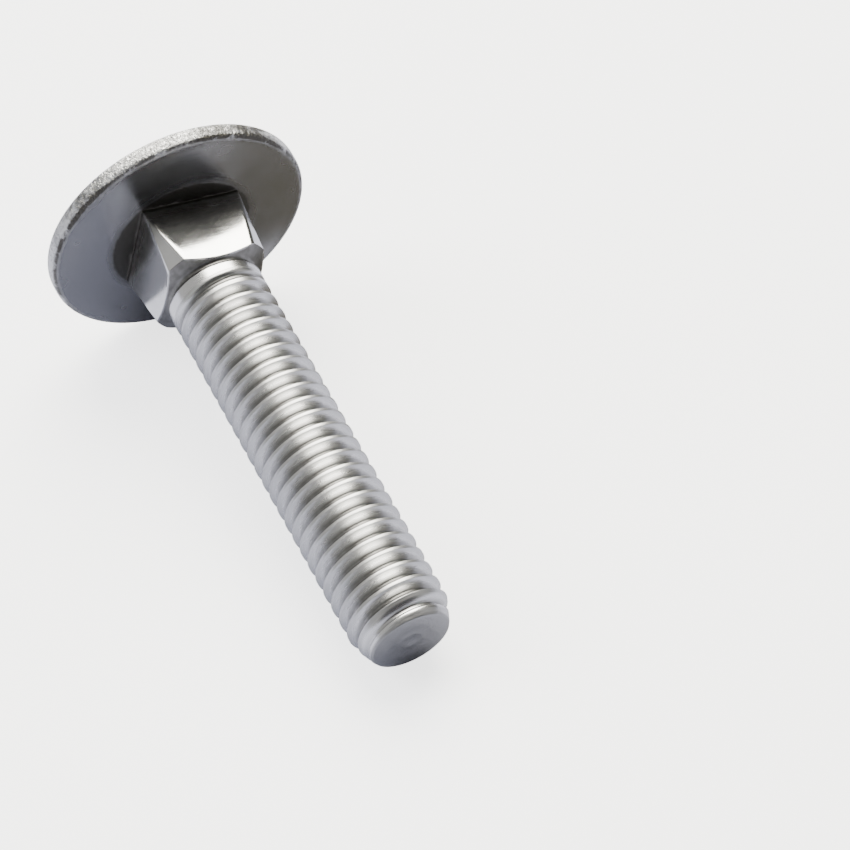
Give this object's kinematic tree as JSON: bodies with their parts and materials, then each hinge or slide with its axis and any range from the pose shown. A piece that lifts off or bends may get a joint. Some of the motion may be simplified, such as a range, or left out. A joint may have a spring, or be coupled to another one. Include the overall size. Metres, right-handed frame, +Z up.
{
  "type": "carriage bolt",
  "caption": "Domed round-head bolt with a square anti-turn neck and a right-hand metric thread up to the neck, lying on its side.",
  "frame": {"origin": "floor point under the middle of the bolt's box as it lies", "axes": "+X along the bolt towards its point, level with the floor, +Z up, +Y to the left of the bolt"},
  "size_m": [0.0344, 0.0162, 0.0161],
  "materials": {
    "bright_steel": "bright zinc-like satin steel, tumbled: smooth under the head and on the neck, rough grey marks on the rim, darker thread grooves"
  },
  "bodies": {
    "root": {"bolt": "bright_steel"}
  },
  "joints": []
}
